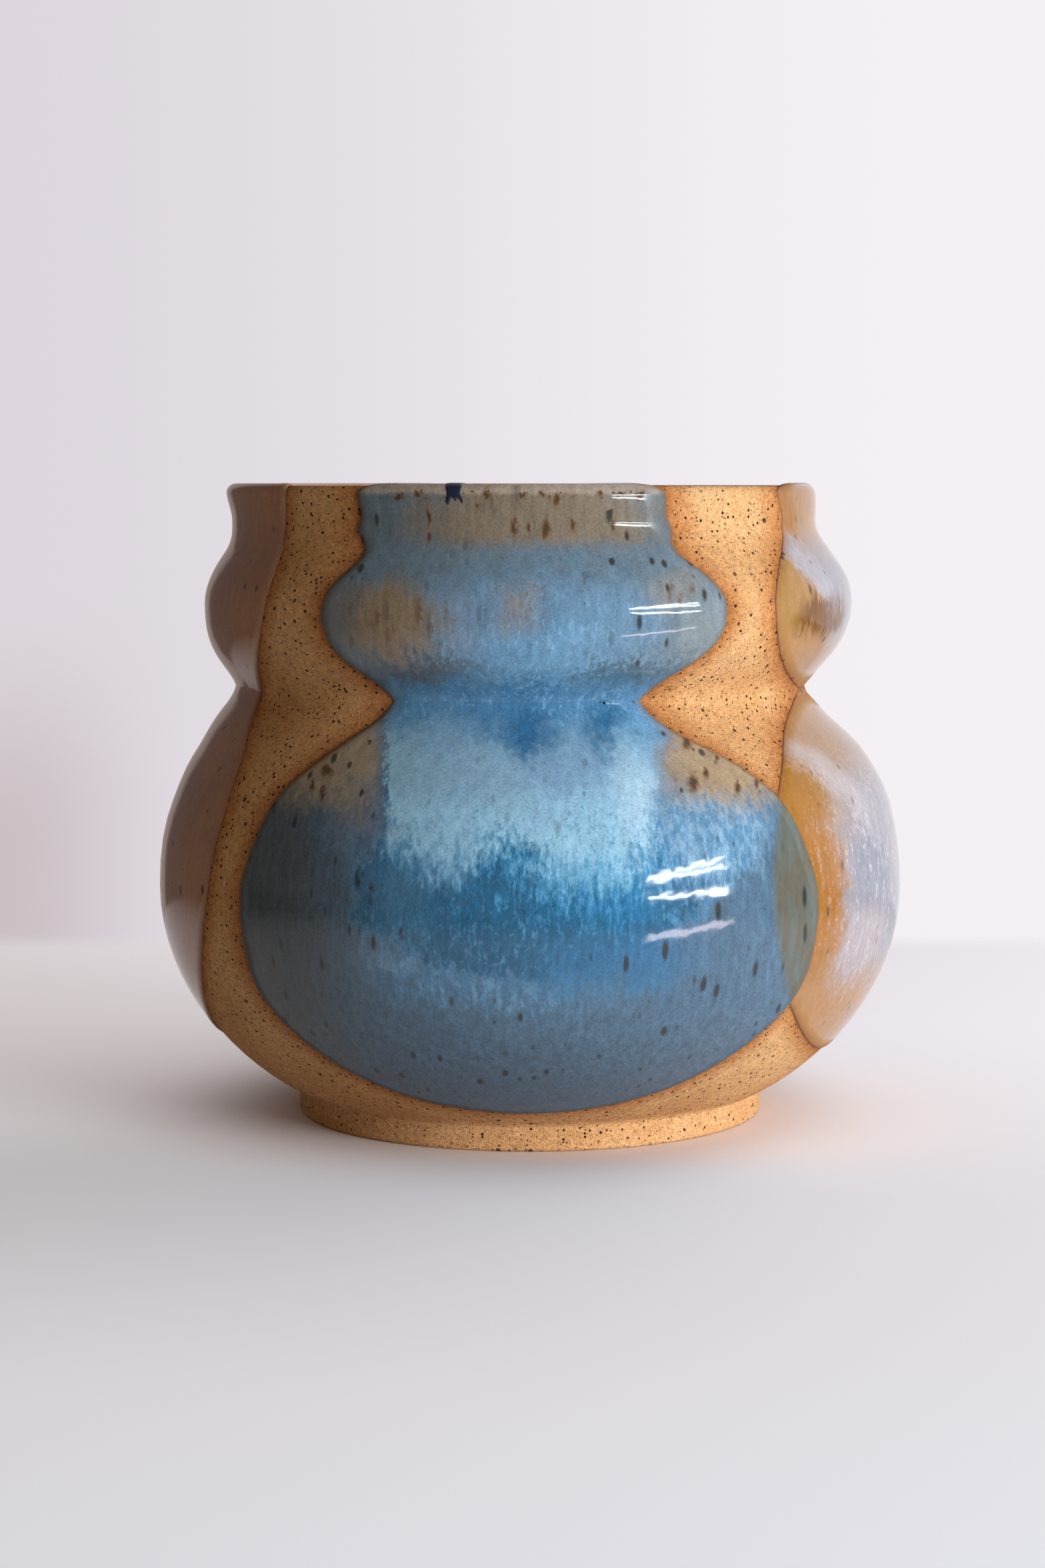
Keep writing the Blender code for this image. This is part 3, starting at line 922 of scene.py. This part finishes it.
# %% Front glaze: rust and specks
RUST_RUNS = [
    (-3.2, 127.2, 0.5, 1.9), (-0.4, 127.0, 0.4, 1.0), (3.0, 126.6, 0.8, 1.5), (8.1, 127.6, 0.4, 1.2),
    (-20.1, 129.3, 0.5, 1.9), (-20.1, 124.9, 0.4, 1.5), (-10.5, 131.0, 0.4, 0.6), (5.3, 132.2, 0.5, 0.9),
    (-26.2, 132.9, 0.8, 0.6), (-35.5, 104.0, 0.5, 1.7), (-30.2, 109.5, 0.4, 1.8), (-35.6, 110.8, 0.5, 0.9),
    (31.0, 84.5, 0.8, 1.5), (32.0, 77.0, 1.0, 1.6), (37.0, 81.2, 0.5, 0.8), (41.0, 75.6, 0.7, 1.1),
    (44.9, 76.3, 0.5, 0.9), (38.8, 83.2, 1.0, 0.5), (-43.4, 76.0, 0.4, 1.3), (-41.2, 74.6, 0.5, 1.5),
    (-32.0, 84.6, 0.4, 0.5), (-40.5, 79.0, 1.2, 1.2), (-22.1, 133.8, 0.8, 0.7), (-8.6, 133.6, 0.8, 1.1),
    (2.2, 133.6, 0.6, 0.6), (5.2, 132.4, 0.7, 1.1), (-1.6, 133.7, 0.7, 0.5), (13.6, 133.6, 0.6, 0.6),
    (17.8, 133.6, 0.8, 0.6), (21.5, 133.3, 0.8, 0.9), (16.2, 127.6, 0.4, 1.2), (-28.2, 105.5, 0.4, 2.0),
    (-21.9, 110.6, 0.6, 2.8), (27.4, 114.4, 0.5, 1.9), (29.4, 112.6, 0.5, 1.5), (31.9, 115.0, 0.6, 0.9),
    (-19.8, 107.6, 0.5, 3.0), (-34.3, 119.0, 0.4, 0.9), (34.6, 78.5, 0.6, 1.2),
]
nearby = front.chart(front.x + 1.6 * curdle + 0.8 * grain, front.z + 2.5 * feather + 2 * curdle)
runs = 0
for sideways, up, half_wide, half_high in RUST_RUNS:
    runs = front.sum("MAXIMUM", front.patch(nearby, (sideways, up), (half_wide, half_high), 0.7), runs)
faint = 1 - 0.55 * front.step(abs(front.z - 110), 13, 9)
glaze = front.mix(glaze, tone(112, 74, 40), front.step(runs, 0.0, 0.6) * faint * 0.6)
glaze = front.mix(glaze, tone(62, 45, 30), front.step(runs, 0.45, 1.0) * faint * 0.8)
fine = front.specks(1.5, 0.22, 0.5, stretch=1.6, seed=29, soft=0.8)
drawn = front.specks(2.6, 0.38, 0.9, stretch=3.2, seed=31, soft=0.5)
under_lip = front.step(abs(front.z - 133.5), 1.2, 0.5)
lip_row = front.specks(1.15, 0.42, 0.75, seed=41) * under_lip
glaze = front.mix(glaze, tone(56, 64, 68), fine * 0.5)
glaze = front.mix(glaze, tone(46, 44, 40), drawn * (0.9 - 0.6 * front.step(thick, 0.44, 0.6)))
glaze = front.mix(glaze, tone(92, 62, 36), lip_row * 0.85)
print("Nodes with", len(RUST_RUNS), "rust runs and specks:", len(front.nodes))

# %% [markdown]
# ## Front glaze: gloss
# The melted surface is glossy, with a slow ripple that makes mirrored lines waver. Along its thin edge
# the coat stayed drier, so the edge has a rougher sheen.

# %% Front glaze: gloss
front.relief(front.cloud(3, detail=1, seed=50) + 0.06 * curdle, 0.04)
front.dry(0.8 * front.step(edge, 2.8, 1.0))
front.wear(glaze, front_panel)

# %% [markdown]
# ## Right glaze
# The right coat is amber where it is thin and clouds over to a milky lavender where it is thick. It
# stayed thin along its front edge, under the collar and low on the belly. Places on it are counted
# along the dip's own level, from its front edge to its back one, and up. The half that faces away
# repeats the same habit more quietly.

# %% Right glaze
RIGHT_DABS = [
    (tone(140, 99, 58), 0.9, (-12, 131), (30, 8), 0.5),
    (tone(134, 132, 139), 0.9, (-5, 113), (13, 11), 0.5),
    (tone(146, 106, 55), 0.95, (-30, 111.5), (11, 12), 0.5),
    (tone(100, 58, 6), 0.95, (-17, 108.5), (12, 4.5), 0.4),
    (tone(156, 110, 62), 0.9, (-26, 101), (16, 4.5), 0.6),
    (tone(136, 133, 139), 0.9, (0, 55), (36, 24.5), 0.4),
    (tone(118, 119, 128), 0.85, (-17, 56), (10, 9), 0.6),
    (tone(158, 144, 144), 0.8, (-23, 42), (10, 9), 0.6),
    (tone(141, 91, 12), 0.95, (-39, 74), (9, 7), 0.5),
    (tone(148, 94, 32), 0.95, (-39, 54), (7, 17), 0.5),
    (tone(160, 112, 66), 0.95, (-16, 24), (30, 10), 0.5),
    (tone(154, 108, 62), 0.8, (22, 84), (12, 4), 0.7),
    (tone(162, 150, 151), 0.7, (14, 66), (5, 10), 0.7),
    (tone(118, 119, 128), 0.7, (6, 47), (10, 6), 0.7),
    (tone(150, 102, 50), 0.8, (31, 46), (5, 10), 0.7),
]

right = Glaze("right_glaze", roughness=0.12)
curdle = right.cloud(0.7, stretch=2.2, detail=2, seed=2, twist=1.2)
feather = right.cloud(1.1, stretch=6, detail=3, seed=5, twist=0.4)
streak = right.cloud(1.5, stretch=8, detail=3, seed=9)
along = (right.along(right_dip) + 12 * right.cloud(13, detail=3, seed=4)
         + 6 * right.cloud(4, detail=2, seed=12) + 3 * curdle)
level = right.z + 8 * right.cloud(12, detail=3, seed=7) + 8 * feather + 4 * curdle
where = right.chart(along, level)
glaze = right.dab(tone(152, 111, 71), where, RIGHT_DABS)
print("Dabs on the right glaze:", len(RIGHT_DABS))

# %% [markdown]
# ## Right glaze: milky runs, edge and specks
# Two milky runs slid down the collar and the upper belly at a slant, with fine lighter threads in the
# cloudy part. The edge is rusty, and dark specks came through where the coat is thin.

# %% Right glaze: runs, edge and specks
collar_run = right.patch(right.chart(along + 0.5 * (level - 118), level), (-18.5, 119), (4.5, 8), 0.6)
belly_run = right.patch(right.chart(along - 0.9 * (74 - level), level), (-22, 75), (6, 9), 0.7)
glaze = right.mix(glaze, tone(151, 148, 155), collar_run * 0.8)
glaze = right.mix(glaze, tone(168, 160, 160), belly_run * 0.6)
cloudy = right.patch(where, (-2, 56), (34, 24), 0.5)
glaze = right.mix(glaze, tone(186, 181, 186), cloudy * right.step(curdle + 0.8 * feather, 0.04, 0.28) * 0.6)
edge = right.edge()
border = right.step(edge + 7 * right.cloud(7, stretch=1.6, detail=3, seed=27) + 4 * feather, 6.0, 1.5)
glaze = right.mix(glaze, tone(154, 110, 66), border * right.step(along, -14, 8) * 0.85)
thin = right.step(edge, 1.6, 0.2)
glaze = right.mix(glaze, tone(146, 96, 60), thin * 0.6)
grain = right.grain()
glaze = right.shade(glaze, 0.4 * streak + 0.25 * curdle + 0.2 * feather + 0.4 * grain)
fine = right.specks(1.6, 0.22, 0.6, stretch=1.6, seed=29, soft=0.7)
drawn = right.specks(3.0, 0.28, 0.95, stretch=2.2, seed=33, soft=0.6)
glaze = right.mix(glaze, tone(112, 82, 56), fine * 0.5)
glaze = right.mix(glaze, tone(64, 44, 30), drawn * (1 - 0.6 * cloudy) * 0.9)
right.relief(right.cloud(2.2, detail=1, seed=50) + 0.15 * curdle, 0.05)
right.dry(0.7 * right.step(edge, 2.8, 1.0))
right.wear(glaze, right_panel)

# %% [markdown]
# ## Left glaze
# The left coat is a quiet mauve brown, thin and even, so the specks of the clay show through it,
# drawn out by the flow. Where it lies a little thicker, on the belly and the collar, it clouds over
# to a greyer mauve.

# %% Left glaze
left = Glaze("left_glaze")
curdle = left.cloud(0.6, stretch=2, detail=2, seed=2, twist=1)
streak = left.cloud(1.6, stretch=8, detail=3, seed=3)
wash = left.cloud(15, detail=3, seed=5)
glaze = left.mix(tone(170, 122, 91), tone(160, 116, 92), left.step(wash, -0.15, 0.15))
along = left.along(left_dip) + 14 * wash
level = left.z + 10 * left.cloud(12, detail=3, seed=8) + 26 * left.cloud(1.2, stretch=7, detail=3, seed=13)
where = left.chart(along, level)
cloudy = left.sum("MAXIMUM", left.patch(where, (-12, 58), (27, 21), 0.5),
                  left.patch(where, (-12, 112), (30, 8), 0.6))
glaze = left.mix(glaze, tone(148, 118, 106), cloudy * 0.7)
grain = left.grain()
glaze = left.shade(glaze, 0.35 * streak + 0.3 * curdle + 0.5 * grain)
edge = left.edge()
thin = left.step(edge, 1.4, 0.2)
glaze = left.mix(glaze, tone(118, 82, 58), thin * 0.55)
fine = left.specks(1.6, 0.24, 0.7, stretch=1.5, seed=29, soft=0.7)
drawn = left.specks(2.8, 0.28, 0.8, stretch=2.2, seed=33, soft=0.5)
glaze = left.mix(glaze, tone(104, 74, 60), fine * 0.6)
glaze = left.mix(glaze, tone(54, 38, 32), drawn * 0.85)
left.relief(left.cloud(2.6, detail=1, seed=50), 0.03)
left.dry(0.5 * thin)
left.wear(glaze, left_panel)

# %% [markdown]
# ## Back glaze
# The back is turned away in the photograph. A pot dipped on all its sides most likely has the front
# glaze there again, so the same ramp paints a simpler belly: a pool under the waist, a deep band
# below it and slate for the rest.

# %% Back glaze
back = Glaze("back_glaze")
curdle = back.cloud(0.55, stretch=2.2, detail=2, seed=61, twist=1.2)
feather = back.cloud(1.0, stretch=5, detail=3, seed=65, twist=0.4)
streak = back.cloud(1.6, stretch=8, detail=3, seed=74)
along = back.along(back_dip) - 6
level = (back.z - 0.008 * along * along + 14 * back.cloud(13, detail=3, seed=68)
         + 6 * back.cloud(4, detail=2, seed=71) + 9 * feather + 4 * curdle)
pool = back.step(level, 57, 65) * back.step(back.z + 6 * feather, 91, 84)
band = back.step(level, 40, 46) * back.step(back.z, 96, 89)
light = back.step(level, 94, 101) * back.step(back.z, 121, 112)
thick = back.blend(back.blend(0.30, 0.57, band), 0.9, pool)
thick = back.blend(thick, 0.44, light * 0.8)
thick = back.blend(thick, 0.08, back.step(back.z + 5 * feather, 121, 127))
thick = thick + (0.42 * curdle + 0.22 * feather) * (0.25 + 0.75 * back.step(thick, 0.34, 0.5))
glaze = back.node("ShaderNodeValToRGB", {"stops": THICK_STOPS}, {"Fac": thick})
grain = back.grain()
glaze = back.shade(glaze, 0.45 * streak + 0.35 * curdle + 0.3 * feather + 0.45 * grain)
edge = back.edge()
thin = back.step(edge, 1.5, 0.2)
glaze = back.mix(glaze, tone(112, 94, 76), thin * 0.65)
drawn = back.specks(3.6, 0.17, 0.5, stretch=2.6, seed=31, soft=0.8)
glaze = back.mix(glaze, tone(48, 46, 42), drawn * 0.6)
back.relief(back.cloud(2.2, detail=1, seed=50) + 0.15 * curdle, 0.05)
back.dry(0.5 * thin)
back.wear(glaze, back_panel)

# %% [markdown]
# ## Liner
# The inside and the run over the rim share one glossy navy glaze, a little lighter where it is thin.
# Along its upper edge it lets the clay through and turns brown.

# %% Liner finish
lining = Glaze("liner_glaze")
streak = lining.cloud(2.4, stretch=7, detail=3, seed=3)
curdle = lining.cloud(0.7, stretch=2, detail=2, seed=6, twist=1)
glaze = lining.mix(tone(26, 31, 48), tone(46, 57, 86), lining.step(streak + 0.6 * curdle, 0.02, 0.3))
glaze = lining.mix(glaze, tone(90, 84, 84), lining.specks(2.6, 0.14, 0.6, seed=12, soft=0.8) * 0.35)
edge = lining.edge(wander=0.6)
glaze = lining.mix(glaze, tone(70, 56, 48), lining.step(edge, 1.2, 0.1) * 0.8)
lining.relief(lining.cloud(2.6, detail=1, seed=50), 0.04)
lining.wear(glaze, liner, run)

# %% [markdown]
# ## Floor
# The pot stands on a pale table in front of a pale wall. The table is one plane. Its far edge fades
# out, so that it runs softly into the background instead of ending in a hard line, and no wall
# stands in the way of a camera behind the pot.

# %% Floor
FLOOR_SIDE, FLOOR_END = 1.6, 0.27
bpy.ops.object.select_all(action="DESELECT")
bpy.ops.mesh.primitive_plane_add(size=2 * FLOOR_SIDE, location=(0, FLOOR_END - FLOOR_SIDE, 0))
bpy.ops.object.transform_apply(location=True, rotation=False, scale=False)
floor = bpy.context.object
floor.name = floor.data.name = "pale_floor"
print("Floor ends behind the pot at, in m:", FLOOR_END)

# %% [markdown]
# ## The floor's finish
# The table is matt and pale. To the camera and in reflections it also glows a little, as a table lit from
# all over a bright room does: this glow is painted light, brighter towards the back and the window's side.
# It fades in the nook beside the foot, where the pot blocks that light, and there the matt colour turns
# darker and warmer, as painted shade and painted bounce from the clay. On the window's side less of it is
# blocked, and to the front and the left a broad soft painted shadow lies on the table. The lamps draw the
# rest of the shadow. In reflections the table is painted dim away from the pot, because the room on the
# camera's side was dim. Towards its far edge the table turns transparent.

# %% Floor finish
FLOOR_COLOUR, FLOOR_GLOW = (0.80, 0.79, 0.81, 1), (0.30, 0.285, 0.31, 1)
# painted shade beside the foot: a darker, warmer matt colour that stands for shadow and bounce from the
# clay
PAINTED_NOOK_SHADE = (0.73, 0.635, 0.59, 1)
NEAR_GLOW = (0.295, 0.30, 0.345, 1)
DUSK_COLOUR = (0.12, 0.12, 0.12, 1)
NOOK = 0.22
FADE = 0.04

material = bpy.data.materials.new("pale_floor")
material.use_nodes = True
material.node_tree.nodes.remove(material.node_tree.nodes["Principled BSDF"])
table = Finish(material.node_tree)
in_gloss = table.node("ShaderNodeLightPath", output="Is Glossy Ray")
seen = table.sum("MAXIMUM", table.node("ShaderNodeLightPath", output="Is Camera Ray"), in_gloss)
place = table.node("ShaderNodeTexCoord", output="Object")
side, depth = table.parts(place)[:2]
unblocked = table.node("ShaderNodeAmbientOcclusion", {"samples": 8}, {"Distance": NOOK}, "AO")
# painted shade: the glow and the matt colour fade in the nook by the foot, less on the window's side
open_sky = table.step(unblocked + 0.07 + 0.2 * table.step(side, 0.0, 0.07), 0.2, 0.95)
# a painted soft shadow of the pot on the table, to its front and its left
painted_pot_shadow = table.step(side, 0.07, -0.05) * table.step(depth, -0.24, -0.08) * table.step(depth, 0.0, -0.08)
away = table.node("ShaderNodeVectorMath", {"operation": "LENGTH"}, {0: place}, "Value")
# painted reflection: what the glaze mirrors of the table turns dim away from the pot
dusk = in_gloss * table.step(away, 0.10, 0.60)
# painted light: the table's glow, brighter towards the back and the window's side and dimmed under the
# painted shadow
brightness = (0.95 + 0.55 * table.step(depth, -0.10, 0.12) + 0.4 * table.step(side, 0.06, 0.30)
              - 0.38 * painted_pot_shadow)
glow_colour = table.mix(FLOOR_GLOW, NEAR_GLOW, table.step(depth, -0.14, -0.36))
shaded = table.mix(PAINTED_NOOK_SHADE, FLOOR_COLOUR, open_sky)
matt = table.node("ShaderNodeBsdfDiffuse", inputs={"Color": table.mix(shaded, DUSK_COLOUR, dusk)})
glow = table.node("ShaderNodeEmission", inputs={
    "Color": glow_colour, "Strength": seen * open_sky * (1 - dusk) * brightness})
lit = table.node("ShaderNodeAddShader", inputs={0: matt, 1: glow})
clear = table.node("ShaderNodeBsdfTransparent")
ending = table.step(depth, FLOOR_END - FADE, FLOOR_END)
shown = table.node("ShaderNodeMixShader", inputs={0: ending, 1: lit, 2: clear})
table.feed(table.nodes["Material Output"].inputs["Surface"], shown)
floor.data.materials.append(material)
print(material.name, "has", len(table.nodes), "nodes")

# %% [markdown]
# ## Light
# A bright window stood low on the right: its panes show as thin lines on every bulge of the glaze.
# Three strip lamps stand for those lines. Two wide soft lamps add the rest of the window's light and
# the glow of the room on that side. They are hidden from reflections, which keep just the lines. A
# last strip lies low on the table, and shows only in the glaze, as the bright streak on the belly.

# %% Lamps
DAYLIGHT, OFF_THE_TABLE = (0.925, 1.015, 1.12), (1.0, 0.86, 0.92)
PANE_AZIMUTH, WINDOW_DISTANCE, PANE_WIDTH = 46.7, 1.27, 0.58


def lamp(name, place, turned, size, power, colour):
    """A rectangular lamp that the camera doesn't see, with its place and size in metres."""
    bpy.ops.object.light_add(type="AREA", location=place, rotation=turned)
    made = bpy.context.object
    made.name = name
    made.data.shape = "RECTANGLE"
    made.data.size, made.data.size_y = size
    made.data.energy, made.data.color = power, colour
    made.visible_camera = False
    return made


def window_lamp(name, azimuth, distance, height, size, power, roll=0, shows=True):
    """A lamp that faces the pot, at an azimuth from the front, rolled about its own axis, in degrees."""
    turn_by = math.radians(azimuth)
    place = Vector((math.sin(turn_by) * distance, -math.cos(turn_by) * distance, height))
    facing = (POT_MIDDLE - place).to_track_quat("-Z", "Y")
    turned = (facing @ Quaternion((0, 0, 1), math.radians(roll))).to_euler()
    lamp(name, place, turned, size, power, DAYLIGHT).visible_glossy = shows


window_lamp("upper_pane", PANE_AZIMUTH, WINDOW_DISTANCE, 0.300, (PANE_WIDTH, 0.021), 1.7, roll=9)
window_lamp("upper_pane_sill", PANE_AZIMUTH, WINDOW_DISTANCE, 0.252, (PANE_WIDTH, 0.027), 2.0, roll=5)
window_lamp("lower_pane", PANE_AZIMUTH, WINDOW_DISTANCE, 0.10, (PANE_WIDTH, 0.034), 2.4)
window_lamp("window_light", 48, WINDOW_DISTANCE, 0.20, (0.64, 0.24), 10.4, shows=False)
window_lamp("window_glow", 66, 1.2, 0.32, (0.9, 0.5), 9, shows=False)
STREAK_PLACE, STREAK_TURN, STREAK_SIZE = (0.226, -0.22, 0.006), (math.radians(60), 0, 0), (0.205, 0.022)
table_streak = lamp("table_streak", STREAK_PLACE, STREAK_TURN, STREAK_SIZE, 0.16, OFF_THE_TABLE)
table_streak.visible_diffuse = False
print("Lamps:", len(bpy.data.lights))

# %% [markdown]
# ## The room
# The wall behind the pot is pale and a little brighter towards the window, with painted shade in its lower
# left corner. The camera sees that wall all round. The glaze mirrors it where it faces backwards, duller
# and browner away from the window. The room on the camera's side was dim, so what the glaze mirrors from
# there stays dark, and the light that the room itself gives the clay is low, warm and even.

# %% World
WALL_LEFT, WALL_RIGHT = tone(222, 215, 223), tone(244, 240, 244)
WALL_CORNER = tone(203, 193, 197)
ROOM = (0.204, 0.168, 0.121, 1)
DIM_ROOM = (0.10, 0.10, 0.11, 1)
FAR_WALL = tone(198, 182, 174)

world = bpy.data.worlds.new("room")
bpy.context.scene.world = world
world.use_nodes = True
room = Finish(world.node_tree)
looking = room.node("ShaderNodeTexCoord", output="Generated")
sideways, backwards, upwards = room.parts(looking)
wall = room.mix(WALL_LEFT, WALL_RIGHT, room.step(sideways, -0.16, 0.13))
# painted shade in the lower left corner of the wall
corner = room.step(sideways, -0.10, -0.16) * room.step(upwards, -0.03, -0.11)
wall = room.mix(wall, WALL_CORNER, corner)
by_window = room.step(sideways, -0.2, 0.2)
wall_in_glaze = room.mix(FAR_WALL, WALL_RIGHT, by_window)
on_wall = room.step(backwards, -0.05, 0.10) * room.step(sideways, -0.46, -0.38)
mirrored = room.mix(DIM_ROOM, wall_in_glaze, on_wall * (0.62 + 0.38 * by_window))
light = room.mix(ROOM, mirrored, room.node("ShaderNodeLightPath", output="Is Glossy Ray"))
light = room.mix(light, wall, room.node("ShaderNodeLightPath", output="Is Camera Ray"))
room.feed(room.nodes["Background"].inputs["Color"], light)
print("The room has", len(room.nodes), "nodes")

# %% [markdown]
# ## Into the frame
# Every piece leans with the wall, rides on the one body of the model and stands for its CAD node, which is
# hidden.

# %% Ride and replace
STANDS_FOR = [
    (clay, "clay_body", "clay"),
    (front_panel, "front_glaze", "front_glaze"),
    (right_panel, "right_glaze", "right_glaze"),
    (left_panel, "left_glaze", "left_glaze"),
    (back_panel, "back_glaze", "back_glaze"),
    (liner, "liner_glaze", "liner_glaze"),
    (run, "rim_drip", "liner_glaze"),
]
for piece, node, slot in STANDS_FOR:
    lean(piece)
    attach(piece, "root")
    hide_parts(node)
    print(piece.name, "stands for", node)

# %% [markdown]
# ## Picture settings
# The colours are shown as they are, with no film curve.

# %% Picture settings
bpy.context.scene.view_settings.view_transform = "Standard"
